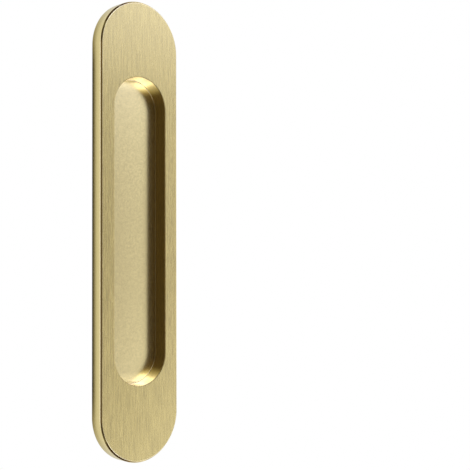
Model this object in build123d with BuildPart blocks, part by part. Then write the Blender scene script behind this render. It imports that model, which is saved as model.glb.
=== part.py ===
"""Self-adhesive finger pull for a sliding door: a one-piece metal body and the foam tape behind it.

The frame is that of the pull stuck on a door: X across its width, Z up along its length and the
face towards -Y. The origin is the centre of the tape's back, where it meets the door.
"""
import os

from build123d import *

# Body: an upright stadium, with the finger recess sunk into its face (mm)
body_length = 150.0
body_width = 31.0
side_land = 5.2  # face left beside the recess
end_land = 24.7  # face left above and below the recess
recess_depth = 4.9
recess_draft = 4.0  # lean of the recess wall, in degrees, so that it narrows towards the floor
floor_thickness = 0.7  # metal left behind the recess

# Edges of the body (mm)
face_bevel = 0.5
back_edge_radius = 1.0
rim_radius = 0.2
floor_corner_radius = 0.15

# Foam tape: the body's outline drawn in, so that it stays out of sight (mm)
tape_thickness = 0.9
tape_inset = 1.5

# Sizes and planes that follow from those above
body_thickness = recess_depth + floor_thickness
recess_length = body_length - 2 * end_land
recess_width = body_width - 2 * side_land
door_plane = Plane.XZ
back_plane = door_plane.offset(tape_thickness)
face_plane = back_plane.offset(body_thickness)

os.makedirs("parts", exist_ok=True)


with BuildPart() as pull_body:
    with BuildSketch(back_plane):
        SlotOverall(body_length, body_width, rotation=90)
    extrude(amount=body_thickness)
    # A fine bevel runs round the face, and a small round along the back edge
    chamfer(pull_body.edges().group_by(Axis.Y)[0], length=face_bevel)
    fillet(pull_body.edges().group_by(Axis.Y)[-1], radius=back_edge_radius)
    # The finger recess, with its floor corner rounded and its rim eased
    with BuildSketch(face_plane):
        SlotOverall(recess_length, recess_width, rotation=90)
    extrude(amount=-recess_depth, taper=recess_draft, mode=Mode.SUBTRACT)
    recess_floor = pull_body.faces().filter_by(Axis.Y).sort_by(Axis.Y)[1]
    fillet(recess_floor.edges(), radius=floor_corner_radius)
    face = pull_body.faces().filter_by(Axis.Y).sort_by(Axis.Y)[0]
    fillet(face.inner_wires().edges(), radius=rim_radius)
pull_body.part.label = "pull_body"
export_step(pull_body.part, "parts/pull_body.step")


with BuildPart() as foam_tape:
    with BuildSketch(door_plane):
        SlotOverall(body_length - 2 * tape_inset, body_width - 2 * tape_inset, rotation=90)
    extrude(amount=tape_thickness)
foam_tape.part.label = "foam_tape"
export_step(foam_tape.part, "parts/foam_tape.step")
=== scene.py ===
import math

import bpy
import numpy as np
from mathutils import Matrix, Vector


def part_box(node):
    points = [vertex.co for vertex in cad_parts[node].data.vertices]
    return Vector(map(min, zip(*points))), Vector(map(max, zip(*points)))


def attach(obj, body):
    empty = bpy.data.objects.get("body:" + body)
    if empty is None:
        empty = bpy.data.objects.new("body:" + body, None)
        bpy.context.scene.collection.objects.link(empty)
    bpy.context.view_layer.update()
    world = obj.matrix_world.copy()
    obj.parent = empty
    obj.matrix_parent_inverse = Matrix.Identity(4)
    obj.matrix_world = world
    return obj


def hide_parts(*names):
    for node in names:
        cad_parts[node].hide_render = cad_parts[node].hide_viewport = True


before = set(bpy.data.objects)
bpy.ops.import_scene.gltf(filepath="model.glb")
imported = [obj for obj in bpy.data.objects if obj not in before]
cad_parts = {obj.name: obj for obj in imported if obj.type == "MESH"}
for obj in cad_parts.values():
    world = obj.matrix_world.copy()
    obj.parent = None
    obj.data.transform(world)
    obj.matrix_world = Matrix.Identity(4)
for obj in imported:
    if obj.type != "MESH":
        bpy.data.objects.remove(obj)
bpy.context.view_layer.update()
scene = bpy.context.scene
scene.view_settings.view_transform = "Standard"

MM = 0.001
MICRON = 0.001 * MM

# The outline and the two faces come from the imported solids, the rest repeats the source's sizes
body_low, body_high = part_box("pull_body")
tape_low, tape_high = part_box("foam_tape")
body_radius = body_high.x
body_half = body_high.z - body_radius
face_y = body_low.y
back_y = body_high.y
tape_radius = tape_high.x
tape_half = tape_high.z - tape_radius
recess_radius = 10.3 * MM
recess_half = 40.0 * MM
recess_depth = 4.9 * MM
recess_draft = math.radians(4.0)
floor_corner = 0.15 * MM
rim_round = 0.2 * MM
face_bevel = 0.5 * MM
back_round = 1.0 * MM
face_break = 0.20 * MM  # radius that polishing leaves between face and bevel
side_break = 0.24 * MM  # the same between bevel and side wall
tape_nip = 0.12 * MM  # round that cutting leaves along the tape's edges

ARC_STEPS = 96
RUN_STEPS = 48


# Surfaces

def mesh_piece(name, verts, faces):
    """A new object of the scene, a mesh of rows of points and lists of their numbers."""
    mesh = bpy.data.meshes.new(name)
    mesh.from_pydata(verts.tolist(), [], faces)
    piece = bpy.data.objects.new(name, mesh)
    scene.collection.objects.link(piece)
    return piece


def stadium_path():
    """Angle a and run k along an upright stadium, from the foot of its right side round to the same place.

    A ring of radius r and half-run h has x = r cos(a) and z = h k + r sin(a): a is still on the two
    straight sides, where k runs from -1 to 1 and back, and k is still on the two ends, where a turns
    through pi. Also gives each step's place on the spine, the line that a ring of no radius shrinks to.
    """
    run = np.arange(RUN_STEPS) / RUN_STEPS
    turn = np.arange(ARC_STEPS) / ARC_STEPS
    angle = np.concatenate([0 * run, math.pi * turn, math.pi + 0 * run, math.pi * (1 + turn)])
    along = np.concatenate([2 * run - 1, 1 + 0 * turn, 1 - 2 * run, -1 + 0 * turn])
    spine = np.rint((along + 1) / 2 * RUN_STEPS).astype(int)
    return angle, along, spine


def bend(centre_r, centre_y, radius, start, end, steps, hollow=False):
    """Profile points on a circle: (r, y) = centre + radius (cos q, sin q), q from start to end degrees.

    The normal points away from the centre, or towards it on a hollow bend.
    """
    q = np.radians(np.linspace(start, end, steps + 1))
    out = np.stack([np.cos(q), np.sin(q)], axis=1)
    points = np.array([centre_r, centre_y]) + radius * out
    return points, -out if hollow else out


def flat(start, end, steps):
    """Profile points evenly spaced on a line, and its normal: the line's direction turned a quarter."""
    start, end = np.array(start), np.array(end)
    t = np.linspace(0, 1, steps + 1)[:, None]
    way = (end - start) / np.linalg.norm(end - start)
    return start + t * (end - start), np.repeat([[way[1], -way[0]]], steps + 1, axis=0)


def carried(name, sections, ends, zones):
    """A closed skin: a profile of (r, y) points carried round the stadium path.

    Ring i is x = r_i cos(a), y = y_i, z = h_i k + r_i sin(a), with normals
    (n_r cos(a), n_y, n_r sin(a)). Sections follow each other without a kink, so each gives up its last
    point to the next, and h goes evenly from a section's first half-run to its last. The first and the
    last ring have no radius, so their points are shared along the spine and the skin closes there.
    """
    keep = [len(s[0]) - 1 for s in sections]
    keep[-1] += 1
    points = np.concatenate([s[0][:n] for s, n in zip(sections, keep)])
    slopes = np.concatenate([s[1][:n] for s, n in zip(sections, keep)])
    half = np.concatenate([np.linspace(*e, len(s[0]))[:n] for s, e, n in zip(sections, ends, keep)])
    zone = np.repeat(zones, keep)
    angle, along, spine = stadium_path()
    rings, steps = len(points), len(angle)

    def place(i, a, k):
        r, y, h = points[i, 0], points[i, 1], half[i]
        n_r, n_y = slopes[i, 0], slopes[i, 1]
        xyz = np.stack([r * np.cos(a), y + 0 * a, h * k + r * np.sin(a)], axis=-1)
        tilt = np.stack([n_r * np.cos(a), n_y + 0 * a, n_r * np.sin(a)], axis=-1)
        return xyz.reshape(-1, 3), tilt.reshape(-1, 3)

    on_spine = np.linspace(-1, 1, RUN_STEPS + 1)
    inner = np.arange(1, rings - 1)[:, None]
    first, first_tilt = place(0, 0 * on_spine, on_spine)
    middle, middle_tilt = place(inner, angle[None], along[None])
    last, last_tilt = place(rings - 1, 0 * on_spine, on_spine)
    verts = np.concatenate([first, middle, last])
    tilts = np.concatenate([first_tilt, middle_tilt, last_tilt])

    grid = len(first) + np.arange((rings - 2) * steps).reshape(rings - 2, steps)
    grid = np.concatenate([spine[None], grid, (len(first) + len(middle) + spine)[None]])
    ahead = np.roll(grid, -1, axis=1)
    quads = np.stack([grid[:-1], grid[1:], ahead[1:], ahead[:-1]], axis=-1).reshape(-1, 4)
    faces_zone = np.repeat(zone[:-1], steps)
    fan_in = quads[:, 0] == quads[:, 3]
    fan_out = quads[:, 1] == quads[:, 2]
    whole = ~(fan_in | fan_out)
    faces = quads[whole].tolist() + quads[fan_in][:, :3].tolist() + quads[fan_out][:, [0, 1, 3]].tolist()
    faces_zone = np.concatenate([faces_zone[whole], faces_zone[fan_in], faces_zone[fan_out]])

    piece = mesh_piece(name, verts, faces)
    piece.data.polygons.foreach_set("material_index", faces_zone.astype(np.int32))
    piece.data.shade_smooth()
    tilts /= np.linalg.norm(tilts, axis=1, keepdims=True)
    piece.data.normals_split_custom_set_from_vertices(tilts.tolist())
    piece.data.update()
    return piece


FACE, FLOOR, CORNER, WALL, RIM, EDGE, BEVEL, SIDE, BACK = range(9)


def pull_skin():
    """The pull's whole skin as one profile, from the recess floor's spine over the face to the back's spine.

    Floor, hollow corner, wall leaning out by the draft, rounded rim, face, bevel with two broken edges,
    side wall, rounded back edge and back. Each bend's centre lies its radius off the two lines it joins.
    """
    lean = math.degrees(recess_draft)
    floor_y = face_y + recess_depth

    def wall_r(y):
        return recess_radius - (y - face_y) * math.tan(recess_draft)

    corner_y = floor_y - floor_corner
    corner_r = wall_r(corner_y) - floor_corner / math.cos(recess_draft)
    rim_y = face_y + rim_round
    rim_r = wall_r(rim_y) + rim_round / math.cos(recess_draft)
    corner = bend(corner_r, corner_y, floor_corner, 90, lean, steps=8, hollow=True)
    rim = bend(rim_r, rim_y, rim_round, 180 + lean, 270, steps=8)
    # A round between lines that meet at 135 degrees touches them radius times tan(22.5) from the sharp edge
    reach = math.tan(math.radians(22.5))
    face_edge_r = body_radius - face_bevel - face_break * reach
    side_edge_y = face_y + face_bevel + side_break * reach
    face_edge = bend(face_edge_r, face_y + face_break, face_break, 270, 315, steps=5)
    side_edge = bend(body_radius - side_break, side_edge_y, side_break, 315, 360, steps=6)
    back_edge = bend(body_radius - back_round, back_y - back_round, back_round, 0, 90, steps=10)
    inner, outer = (recess_half, recess_half), (body_half, body_half)
    rows = [
        (flat((0, floor_y), corner[0][0], steps=5), inner, FLOOR),
        (corner, inner, CORNER),
        (flat(corner[0][-1], rim[0][0], steps=6), inner, WALL),
        (rim, inner, RIM),
        (flat(rim[0][-1], face_edge[0][0], steps=6), (recess_half, body_half), FACE),
        (face_edge, outer, EDGE),
        (flat(face_edge[0][-1], side_edge[0][0], steps=2), outer, BEVEL),
        (side_edge, outer, SIDE),
        (flat(side_edge[0][-1], back_edge[0][0], steps=8), outer, SIDE),
        (back_edge, outer, SIDE),
        (flat(back_edge[0][-1], (0, back_y), steps=4), outer, BACK),
    ]
    return carried("pull_skin", *zip(*rows))


def tape_skin():
    """The tape's skin: a flat front on the body, a cut side with its two edges rounded, and a flat back."""
    low, high = tape_low.y, tape_high.y
    front_nip = bend(tape_radius - tape_nip, low + tape_nip, tape_nip, 270, 360, steps=6)
    back_nip = bend(tape_radius - tape_nip, high - tape_nip, tape_nip, 0, 90, steps=6)
    sections = [
        flat((0, low), front_nip[0][0], steps=5),
        front_nip,
        flat(front_nip[0][-1], back_nip[0][0], steps=4),
        back_nip,
        flat(back_nip[0][-1], (0, high), steps=5),
    ]
    return carried("tape_skin", sections, [(tape_half, tape_half)] * len(sections), [0] * len(sections))


# Finishes

def node(tree, kind, links=None, **values):
    """A shader node with its settings, its plain socket values and its incoming links, all by name.

    A value's name has an underscore where the socket's name has a space.
    """
    made = tree.nodes.new(kind)
    for key, value in values.items():
        if hasattr(made, key):
            setattr(made, key, value)
        else:
            made.inputs[key.replace("_", " ")].default_value = value
    for socket, source in (links or {}).items():
        tree.links.new(source, made.inputs[socket])
    return made


def math_node(tree, operation, a, b=None):
    """The result of one operation on one or two sockets or numbers."""
    made = tree.nodes.new("ShaderNodeMath")
    made.operation = operation
    for i, value in enumerate((a, b)):
        if value is None:
            continue
        if isinstance(value, (int, float)):
            made.inputs[i].default_value = value
        else:
            tree.links.new(value, made.inputs[i])
    return made.outputs[0]


def group(name, inputs, outputs):
    """An empty shader node group with named sockets, and its two end nodes."""
    tree = bpy.data.node_groups.new(name, "ShaderNodeTree")
    for label, kind, value in inputs:
        socket = tree.interface.new_socket(label, in_out="INPUT", socket_type=kind)
        if value is not None:
            socket.default_value = value
    for label, kind in outputs:
        tree.interface.new_socket(label, in_out="OUTPUT", socket_type=kind)
    return tree, tree.nodes.new("NodeGroupInput"), tree.nodes.new("NodeGroupOutput")


def plating_tone():
    """Group: a plated colour that drifts slowly over the piece and is paler along the crest of each line.

    Its value is 1 plus drift, streak and, where the Ends mask is up, lift, a painted highlight or painted
    shade at the recess's ends; its saturation falls there by pale, which whitens the painted highlight.
    """
    tree, start, end = group(
        "plating_tone",
        [("Vector", "NodeSocketVector", None), ("Colour", "NodeSocketColor", (0.5, 0.5, 0.5, 1)),
         ("Lines", "NodeSocketFloat", 0.5), ("Drift", "NodeSocketFloat", 0.06),
         ("Streak", "NodeSocketFloat", 0.1), ("Ends", "NodeSocketFloat", 0.0),
         ("Lift", "NodeSocketFloat", 0.0), ("Pale", "NodeSocketFloat", 0.0)],
        [("Colour", "NodeSocketColor")])
    given = start.outputs
    cloud = node(tree, "ShaderNodeTexNoise", Scale=38.0, Detail=3.0, Roughness=0.55,
                 links={"Vector": given["Vector"]}).outputs["Fac"]
    drift = math_node(tree, "MULTIPLY", math_node(tree, "SUBTRACT", cloud, 0.5), given["Drift"])
    streak = math_node(tree, "MULTIPLY", math_node(tree, "SUBTRACT", given["Lines"], 0.5), given["Streak"])
    # Lift: painted highlight, or painted shade where it is below 0, towards the recess's ends
    lift = math_node(tree, "MULTIPLY", given["Ends"], given["Lift"])
    value = math_node(tree, "ADD", math_node(tree, "ADD", drift, streak), math_node(tree, "ADD", lift, 1.0))
    pale = math_node(tree, "MULTIPLY", given["Ends"], given["Pale"])
    saturation = math_node(tree, "SUBTRACT", 1.0, pale)
    plated = node(tree, "ShaderNodeHueSaturation",
                  links={"Color": given["Colour"], "Value": value, "Saturation": saturation})
    tree.links.new(plated.outputs["Color"], end.inputs["Colour"])
    return tree


def hairlines():
    """Group: brushed lines, two noises drawn out along one axis, coarse streaks with fine lines between.

    Across gives how many coarse streaks there are to a metre on each axis, small along the stroke. Fine
    is how many fine lines there are to a streak, and share how much of the whole they are.
    """
    tree, start, end = group(
        "hairlines",
        [("Vector", "NodeSocketVector", None), ("Across", "NodeSocketVector", (1, 1, 1)),
         ("Fine", "NodeSocketFloat", 4.0), ("Share", "NodeSocketFloat", 0.5)],
        [("Lines", "NodeSocketFloat")])
    drawn = node(tree, "ShaderNodeVectorMath", operation="MULTIPLY",
                 links={0: start.outputs["Vector"], 1: start.outputs["Across"]})
    coarse = node(tree, "ShaderNodeTexNoise", Scale=1.0, Detail=2.0, Roughness=0.6,
                  links={"Vector": drawn.outputs["Vector"]})
    closer = node(tree, "ShaderNodeVectorMath", operation="SCALE",
                  links={0: drawn.outputs["Vector"], "Scale": start.outputs["Fine"]})
    fine = node(tree, "ShaderNodeTexNoise", Scale=1.0, Detail=2.0, Roughness=0.7,
                links={"Vector": closer.outputs["Vector"]})
    mixed = node(tree, "ShaderNodeMix", data_type="FLOAT",
                 links={"Factor": start.outputs["Share"], 2: coarse.outputs["Fac"], 3: fine.outputs["Fac"]})
    tree.links.new(mixed.outputs[0], end.inputs["Lines"])
    return tree


def fine_grain():
    """Group: the even matt grain of a blasted surface, a noise with so many grains to a metre."""
    tree, start, end = group(
        "fine_grain",
        [("Vector", "NodeSocketVector", None), ("Grains", "NodeSocketFloat", 4000.0)],
        [("Grain", "NodeSocketFloat")])
    scaled = node(tree, "ShaderNodeVectorMath", operation="SCALE",
                  links={0: start.outputs["Vector"], "Scale": start.outputs["Grains"]})
    noise = node(tree, "ShaderNodeTexNoise", Scale=1.0, Detail=3.0, Roughness=0.65,
                 links={"Vector": scaled.outputs["Vector"]})
    tree.links.new(noise.outputs["Fac"], end.inputs["Grain"])
    return tree


# The mask of the painted highlight and shade towards the recess's ends
def towards_ends():
    """Group: a mask that rises smoothly from Start to Full with the distance above or below the middle."""
    tree, start, end = group(
        "towards_ends",
        [("Vector", "NodeSocketVector", None), ("Start", "NodeSocketFloat", 0.0),
         ("Full", "NodeSocketFloat", 1.0)],
        [("Ends", "NodeSocketFloat")])
    place = node(tree, "ShaderNodeSeparateXYZ", links={"Vector": start.outputs["Vector"]})
    mask = node(tree, "ShaderNodeMapRange", interpolation_type="SMOOTHSTEP",
                links={"Value": math_node(tree, "ABSOLUTE", place.outputs["Z"]),
                       "From Min": start.outputs["Start"], "From Max": start.outputs["Full"]})
    tree.links.new(mask.outputs["Result"], end.inputs["Ends"])
    return tree


TONE, LINES, GRAIN, ENDS = plating_tone(), hairlines(), fine_grain(), towards_ends()


def placed(tree, which, links, **values):
    """A node group placed in a material with its own values."""
    made = tree.nodes.new("ShaderNodeGroup")
    made.node_tree = which
    for key, value in values.items():
        made.inputs[key].default_value = value
    for socket, source in links.items():
        tree.links.new(source, made.inputs[socket])
    return made


def finish(name):
    """A new material: its tree, its Principled shader and its Object coordinates."""
    material = bpy.data.materials.new(name)
    material.use_nodes = True
    tree = material.node_tree
    shader = tree.nodes["Principled BSDF"]
    coords = tree.nodes.new("ShaderNodeTexCoord").outputs["Object"]
    return material, tree, shader, coords


def spread(tree, value, low, high):
    """A 0 to 1 value opened out about its middle, to low and high."""
    made = node(tree, "ShaderNodeMapRange", From_Min=0.3, From_Max=0.7, To_Min=low, To_Max=high,
                links={"Value": value})
    return made.outputs["Result"]


BRUSHED_BRASS = (0.53, 0.43, 0.170, 1)
BLASTED_BRASS = (0.710, 0.603, 0.320, 1)
# The corner's dark colour is painted shade in the crease
CORNER_SHADE_BRASS = (0.21, 0.165, 0.085, 1)
POLISHED_BRASS = (0.80, 0.63, 0.25, 1)
RIM_BRASS = (0.56, 0.45, 0.19, 1)
# The pale colour of the round between face and bevel is a painted glint, whiter than the brass
GLINT_EDGE_BRASS = (0.80, 0.70, 0.45, 1)
SIDE_BRASS = (0.66, 0.55, 0.24, 1)
BACK_BRASS = (0.54, 0.45, 0.21, 1)
FOAM_GREY = (0.32, 0.33, 0.34, 1)
FLOOR_WHITE = (0.93, 0.93, 0.93, 1)
LACQUER_ROUGHNESS = 0.25
LIFT_RUN = 3.5 * MM  # height over which the lift, painted highlight or shade at the recess's ends, comes in
POLISHING = ((40.0, 1500.0, 40.0), 3.0, 0.4)  # the lines that polishing leaves on the wall and the bevel


def brass(name, colour, rough, drift, streak, height, lines=None, grain=None, coat=1.0, stroke=0.0,
          lift=0.0, lift_from=5.5 * MM, pale=0.0, metal=1.0):
    """Lacquered brass plating with brushed lines or blasted grain in its tone, roughness and relief.

    Lines gives Across, Fine and Share of the brushed lines, and grain the grains to a metre. Rough is
    its least and its most roughness. Stroke spreads its reflections across the lines, which run upright.
    Lift changes its brightness, and pale greys it, from lift_from past the end of the recess's straight
    run: a painted highlight, or painted shade where lift is below 0. Metal below 1 leaves a share of it matt.
    """
    material, tree, shader, coords = finish(name)
    if grain:
        marks = placed(tree, GRAIN, {"Vector": coords}, Grains=grain).outputs["Grain"]
    else:
        across, fine, share = lines
        brushing = placed(tree, LINES, {"Vector": coords}, Across=across, Fine=fine, Share=share)
        marks = brushing.outputs["Lines"]
    tone = placed(tree, TONE, {"Vector": coords, "Lines": marks}, Colour=colour, Drift=drift, Streak=streak)
    # Painted highlight or painted shade towards the recess's ends
    if lift:
        lift_start = recess_half + lift_from
        ends = placed(tree, ENDS, {"Vector": coords}, Start=lift_start, Full=lift_start + LIFT_RUN)
        tree.links.new(ends.outputs["Ends"], tone.inputs["Ends"])
        tone.inputs["Lift"].default_value = lift
        tone.inputs["Pale"].default_value = pale
    relief = node(tree, "ShaderNodeBump", Strength=1.0, Distance=height, links={"Height": marks})
    tree.links.new(tone.outputs["Colour"], shader.inputs["Base Color"])
    tree.links.new(spread(tree, marks, *rough), shader.inputs["Roughness"])
    tree.links.new(relief.outputs["Normal"], shader.inputs["Normal"])
    shader.inputs["Metallic"].default_value = metal
    shader.inputs["Coat Weight"].default_value = coat
    shader.inputs["Coat Roughness"].default_value = LACQUER_ROUGHNESS
    if stroke:
        shader.inputs["Anisotropic"].default_value = stroke
        round_z = node(tree, "ShaderNodeTangent", direction_type="RADIAL", axis="Z")
        tree.links.new(round_z.outputs["Tangent"], shader.inputs["Tangent"])
    return material


def foam():
    """Grey closed-cell foam: two sizes of cells in its tone and relief, under a slightly tacky skin."""
    material, tree, shader, coords = finish("tape_foam")
    small = placed(tree, GRAIN, {"Vector": coords}, Grains=5200.0).outputs["Grain"]
    cells = node(tree, "ShaderNodeTexVoronoi", Scale=2600.0, links={"Vector": coords})
    depth = math_node(tree, "ADD", math_node(tree, "MULTIPLY", cells.outputs["Distance"], 0.6), small)
    tone = placed(tree, TONE, {"Vector": coords, "Lines": depth}, Colour=FOAM_GREY, Drift=0.12, Streak=0.25)
    relief = node(tree, "ShaderNodeBump", Strength=0.6, Distance=60 * MICRON, links={"Height": depth})
    tree.links.new(tone.outputs["Colour"], shader.inputs["Base Color"])
    tree.links.new(spread(tree, small, 0.5, 0.68), shader.inputs["Roughness"])
    tree.links.new(relief.outputs["Normal"], shader.inputs["Normal"])
    return material


pull = pull_skin()
# In the order of the zones
for made in (
    brass("brushed_face", BRUSHED_BRASS, rough=(0.22, 0.30), drift=0.06, streak=1.3, height=4.0 * MICRON,
          lines=((2000.0, 300.0, 120.0), 4.0, 0.35), stroke=0.85, metal=0.8),
    # The floor's lift brightens it towards the recess's ends: a painted reflection of the end walls'
    # highlights
    brass("blasted_floor", BLASTED_BRASS, rough=(0.21, 0.26), drift=0.06, streak=0.32, height=1.5 * MICRON,
          grain=1400.0, coat=0.2, lift=0.4),
    # The corner: painted shade in its dark colour, and a painted highlight where its lift brightens it at the
    # recess's ends
    brass("corner_shade_and_glint", CORNER_SHADE_BRASS, rough=(0.28, 0.34), drift=0.05, streak=0.3, height=1.0 * MICRON,
          grain=2600.0, coat=0.2, lift=3.2, lift_from=2.5 * MM, pale=0.2),
    # The wall's lift and pale make it brighter and whiter towards the recess's ends: a painted highlight
    brass("polished_wall", POLISHED_BRASS, rough=(0.10, 0.16), drift=0.03, streak=0.30, height=1.0 * MICRON,
          lines=POLISHING, coat=0.15, lift=0.25, lift_from=4.5 * MM, pale=0.45),
    # The rim's lift below 0 darkens it towards the recess's ends: painted shade
    brass("eased_rim", RIM_BRASS, rough=(0.15, 0.20), drift=0.05, streak=0.3, height=1.0 * MICRON,
          lines=((300.0, 300.0, 70.0), 3.0, 0.4), coat=0.2, lift=-0.35, lift_from=2.5 * MM),
    # The face's edge round: a pale colour as a painted glint
    brass("edge_painted_glint", GLINT_EDGE_BRASS, rough=(0.14, 0.20), drift=0.05, streak=0.15, height=1.0 * MICRON,
          lines=((60.0, 60.0, 400.0), 3.0, 0.5), coat=0.2),
    brass("polished_bevel", POLISHED_BRASS, rough=(0.10, 0.16), drift=0.03, streak=0.30, height=1.0 * MICRON,
          lines=POLISHING, coat=0.15),
    brass("satin_side", SIDE_BRASS, rough=(0.16, 0.22), drift=0.04, streak=0.10, height=1.0 * MICRON,
          lines=((80.0, 4200.0, 80.0), 3.0, 0.5), coat=0.3),
    brass("plain_back", BACK_BRASS, rough=(0.42, 0.5), drift=0.08, streak=0.12, height=6.0 * MICRON,
          grain=2400.0),
):
    pull.data.materials.append(made)
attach(pull, "root")
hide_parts("pull_body")

tape = tape_skin()
tape.data.materials.append(foam())
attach(tape, "root")
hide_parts("foam_tape")


# Camera: it stands to the left of the pull and a little below its middle, and looks past it

def looking(yaw, pitch, roll):
    """The turn of a camera as its right, up and back axes.

    Yaw is to the right of +Y, pitch is up, and roll turns it about its line of sight, all in degrees.
    """
    yaw, pitch, roll = np.radians([yaw, pitch, roll])
    ahead = np.array([math.sin(yaw) * math.cos(pitch), math.cos(yaw) * math.cos(pitch), math.sin(pitch)])
    right = np.cross(ahead, [0, 0, 1])
    right /= np.linalg.norm(right)
    up = np.cross(right, ahead)
    right, up = math.cos(roll) * right + math.sin(roll) * up, math.cos(roll) * up - math.sin(roll) * right
    return Matrix(np.stack([right, up, -ahead], axis=1).tolist())


camera = bpy.data.objects.new("camera", bpy.data.cameras.new("camera"))
scene.collection.objects.link(camera)
camera_place = Matrix.Translation((-0.19689, -0.26744, -0.00960))
camera.matrix_world = camera_place @ looking(yaw=42.438, pitch=1.441, roll=-0.154).to_4x4()
camera.data.sensor_width = 36.0
camera.data.lens = 76.61
camera.data.clip_start = 0.01
scene.camera = camera


# Stage: what the metal mirrors, lamps, floor and world

ROOM_RADIUS = 1.2
FLOOR_RADIUS = 3.0
FLOOR_DROP = 1.35  # depth of the floor below the pull's middle


def toward(azimuth, elevation):
    """Unit vector from the pull to the side: azimuth 0 is in front of its face, 90 on its right."""
    a, e = np.radians(azimuth), np.radians(elevation)
    return np.stack([np.sin(a) * np.cos(e), -np.cos(a) * np.cos(e), np.sin(e) + 0 * a], axis=-1)


def step(x, low, high):
    """Smooth rise from 0 at low to 1 at high: 3 t^2 - 2 t^3."""
    t = np.clip((x - low) / (high - low), 0, 1)
    return t * t * (3 - 2 * t)


def shade_sheet(name, xyz, tone):
    """A card of the studio: a grid of points with a tone each, 0 dark, 1 the white of the room, lights more.

    Only the metal's reflections see it.
    """
    cell = np.arange(xyz[..., 0].size).reshape(xyz.shape[:2])
    quads = np.stack([cell[:-1, :-1], cell[:-1, 1:], cell[1:, 1:], cell[1:, :-1]], axis=-1).reshape(-1, 4)
    card = mesh_piece(name, xyz.reshape(-1, 3), quads.tolist())
    rgba = np.ones((*xyz.shape[:2], 4), np.float32)
    rgba[..., :3] = tone
    shade = card.data.attributes.new("tone", "FLOAT_COLOR", "POINT")
    shade.data.foreach_set("color", rgba.ravel())
    material = bpy.data.materials.new(name)
    material.use_nodes = True
    tree = material.node_tree
    tree.nodes.remove(tree.nodes["Principled BSDF"])
    value = node(tree, "ShaderNodeAttribute", attribute_name="tone")
    glow = node(tree, "ShaderNodeEmission", links={"Color": value.outputs["Color"]})
    tree.links.new(glow.outputs[0], tree.nodes["Material Output"].inputs["Surface"])
    card.data.materials.append(material)
    card.visible_camera = False
    card.visible_diffuse = False
    card.visible_shadow = False
    card.visible_transmission = False


def front_wall(az, el):
    """Tone of the room in front: grey, rising to the right, and growing towards the top and the foot.

    The rise is a smooth step in azimuth that gets steeper below the middle. The growth is with the square
    of the elevation, and one more step at the top. The right is a little darker above and paler below,
    and the left a little darker below.
    """
    foot = step(-el, 0, 5)
    rise = step(az, 29.5 + foot, 46.5 - foot)
    far_right = step(az, 37, 41) * (0.24 * step(-el, 1, 6) - 0.11 * step(el, 6, 11))
    top = 0.0025 * np.clip(el, 0, 9) ** 2 + 0.31 * step(el, 10.5, 14.5)
    bottom = 0.0018 * np.clip(-el, 0, 14) ** 2
    low_left = 0.08 * step(-el, 0, 4) * (1 - step(az, 37, 39))
    return (0.30 + 1.08 * rise + far_right) * (1 + top + bottom) * (1 - low_left)


def dark_side(az, high):
    """Tone of the room on the left: dark, a little lighter above and below and beside the white behind."""
    deep = 0.044 + 0.05 * step(high, 10, 16) - 0.03 * step(high, 12, 20) * (1 - step(az, -52, -44))
    return deep + 0.10 * (1 - step(az, -54, -49)) * (1 - step(high, 15, 21))


def end_lights(az, high):
    """Tones of a soft light above and one below: a near edge and a bright core, as smooth steps.

    The near edge slants: it lies about where the height plus half the azimuth is 29 degrees. The core
    ends on the right along two slanting lines.
    """
    slant = high + 0.5 * az - 29
    edge = (0.8 - 0.4 * step(az, 4, 30)) * step(slant, -16, 3)
    edge = edge * (0.5 + 0.5 * step(az, -12, 10)) * (1 - step(az, 8, 30))
    core = 1.6 * step(high, 13, 23) * step(slant, -5, 10) ** 1.3 * (1 - 0.9 * step(-az, -12, 8))
    core = core * (1 - step(az - 1.2 * (high - 20), 30, 42)) * (1 - step(az + high, 57, 69))
    return edge, core


def tinted(tone, tint):
    """A grid of tones as colours: each tone times the tint's red, green and blue."""
    return tone[..., None] * np.array(tint)


def studio_room():
    """The room that the metal mirrors: a sphere about the pull, its tone a function of azimuth and elevation.

    The wall in front goes over into the dark side on the left, with some fill between them, and into
    white all round behind. A flag darkens the right above and below, and past about 50 degrees up or
    down the room is dim, paler on the right. What is dark is tinted warm. Added to it are a strip at the
    left and a veil high in front, both cool, and the end lights.
    """
    az, el = np.meshgrid(np.linspace(-180, 180, 241), np.linspace(-89, 89, 120), indexing="ij")
    high = np.abs(el)
    past = step(high, 46, 55)
    left = 1 - step(az, -18, 0)
    fill = 0.3 * step(az, -24, -8) * (1 - step(az, 8, 24)) * (1 - step(high, 10, 20))
    room = front_wall(az, el) * (1 - left) + dark_side(az, high) * left + fill
    behind = np.maximum(step(-az, 59, 72), step(az, 60, 80))
    room = room + (1 - room) * behind
    flag = step(az, 56, 68) * (1 - step(az, 105, 125)) * step(high, 5, 13) * (1 - step(high, 40, 50))
    dim = 0.07 + 0.7 * step(az, 60, 120) * (1 - step(high, 60, 86))
    room = room * (1 - past) * (1 - 0.9 * flag) + dim * past
    dark = step(0.5 - room, 0, 0.3)
    warm = tinted(dark, (0.0, 0.23, 0.44)) + tinted(dark * past, (0.0, 0.12, 0.20))
    strip = 2.4 * step(az, -118, -111) * (1 - step(az, -92, -84)) * (1 - step(high, 12, 36))
    veil = 0.40 * step(el, 11.5, 16) * step(az, 20, 32) * (1 - step(az, 48, 60))
    edge, core = end_lights(az, high)
    colour = room[..., None] * (1 - warm) + tinted(strip + veil, (1.0, 1.1, 2.1))
    colour = colour + tinted(edge * (1 - past), (1.0, 1.05, 0.8)) + tinted(core * (1 - past), (1.0, 1.1, 1.5))
    shade_sheet("studio_room", toward(az, el) * ROOM_RADIUS, colour)


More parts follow.
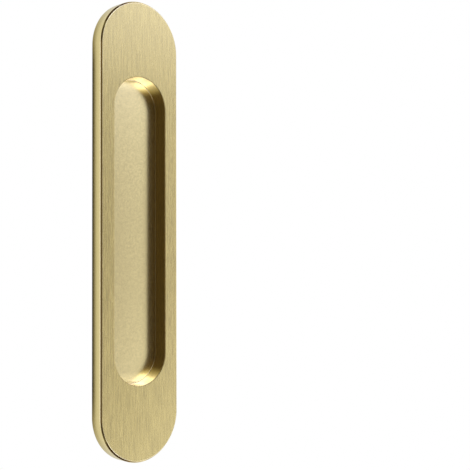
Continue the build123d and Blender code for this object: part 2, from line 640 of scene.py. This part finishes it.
def painted_contact_shadow():
    """A sheet painted with the shadow that a door would hold close round the pull: rings about its outline,
    just behind the tape's back.

    The tone rises with the distance from the outline, in mm, and is lighter towards the two ends. Its
    red, green and blue are powers of the tone, so the shade is warm.
    """
    angle, along, _ = stadium_path()
    angle, along = np.append(angle, angle[0]), np.append(along, along[0])
    away = np.array([-1.4, 0.0, 0.6, 1.0, 1.4, 1.7, 2.0, 2.3, 2.6, 3.0, 3.4, 3.9, 4.5, 6.0])[:, None]
    r = body_radius + away * MM
    x, z = r * np.cos(angle), body_half * along + r * np.sin(angle)
    y = 0 * x + 0.05 * MM
    rise = np.interp(away, [1.4, 1.7, 2.0, 2.3, 2.6, 3.0, 3.4, 3.9],
                     [0.03, 0.08, 0.27, 0.53, 0.72, 0.90, 0.97, 1.0])
    depth = 1 - 0.75 * step(np.abs(z), 50 * MM, 75 * MM)
    tone = 1 - (1 - rise) * depth
    shade_sheet("painted_contact_shadow", np.stack([x, y, z], axis=-1), tone[..., None] ** np.array([1.0, 1.05, 1.3]))


# The metal mirrors a painted contact shadow close round the pull
studio_room()
painted_contact_shadow()


def soft_box(name, azimuth, elevation, distance, width, height, radiance):
    """A soft box that faces the pull: its power is radiance times pi times its area."""
    lamp = bpy.data.lights.new(name, "AREA")
    lamp.shape = "RECTANGLE"
    lamp.size = width
    lamp.size_y = height
    lamp.energy = radiance * math.pi * width * height
    box = bpy.data.objects.new(name, lamp)
    way = Vector(toward(azimuth, elevation))
    box.location = way * distance
    box.rotation_euler = way.to_track_quat("Z", "Y").to_euler()
    box.visible_camera = False
    box.visible_glossy = False
    scene.collection.objects.link(box)


for box_name, box_elevation in (("upper_box", 41), ("lower_box", -41)):
    soft_box(box_name, azimuth=10, elevation=box_elevation, distance=0.75, width=0.70, height=0.46,
             radiance=0.4)


def pale_floor():
    """A pale floor well below the pull: a disc of rings, z constant, its colour even but for a faint grain.

    Towards its edge it goes over into the white of the room, so that no edge shows.
    """
    turns, rings = np.arange(96) / 96 * 2 * math.pi, np.linspace(0.02, FLOOR_RADIUS, 12)
    turn, out = np.meshgrid(turns, rings, indexing="ij")
    xyz = np.stack([out * np.cos(turn), out * np.sin(turn), 0 * out - FLOOR_DROP], axis=-1).reshape(-1, 3)
    cell = np.arange(turn.size).reshape(turn.shape)
    ahead = np.roll(cell, -1, axis=0)
    quads = np.stack([cell[:, :-1], cell[:, 1:], ahead[:, 1:], ahead[:, :-1]], axis=-1).reshape(-1, 4)
    middle = cell[:, 0].tolist()
    floor = mesh_piece("pale_floor", xyz, quads.tolist() + [middle])
    material, tree, shader, coords = finish("pale_floor")
    grain = placed(tree, GRAIN, {"Vector": coords}, Grains=400.0).outputs["Grain"]
    tone = placed(tree, TONE, {"Vector": coords, "Lines": grain}, Colour=FLOOR_WHITE, Drift=0.01, Streak=0.02)
    tree.links.new(tone.outputs["Colour"], shader.inputs["Base Color"])
    shader.inputs["Roughness"].default_value = 0.8
    away = node(tree, "ShaderNodeVectorMath", operation="LENGTH", links={0: coords})
    fade = node(tree, "ShaderNodeMapRange", interpolation_type="SMOOTHSTEP", From_Min=1.5, From_Max=2.6,
                links={"Value": away.outputs["Value"]})
    white = node(tree, "ShaderNodeEmission", Color=(1, 1, 1, 1), Strength=1.0)
    blend = node(tree, "ShaderNodeMixShader",
                 links={0: fade.outputs["Result"], 1: shader.outputs[0], 2: white.outputs[0]})
    tree.links.new(blend.outputs[0], tree.nodes["Material Output"].inputs["Surface"])
    floor.data.materials.append(material)


pale_floor()


def white_room():
    """The world: white where it is seen, straight or in metal or glass, and a little less as light."""
    world = bpy.data.worlds.new("white_room")
    world.use_nodes = True
    scene.world = world
    tree = world.node_tree
    ray = tree.nodes.new("ShaderNodeLightPath").outputs
    mirrored = math_node(tree, "MAXIMUM", ray["Is Glossy Ray"], ray["Is Transmission Ray"])
    seen = math_node(tree, "MAXIMUM", ray["Is Camera Ray"], mirrored)
    level = node(tree, "ShaderNodeMapRange", To_Min=0.95, To_Max=1.0, links={"Value": seen})
    background = tree.nodes["Background"]
    background.inputs["Color"].default_value = (1, 1, 1, 1)
    tree.links.new(level.outputs["Result"], background.inputs["Strength"])


white_room()
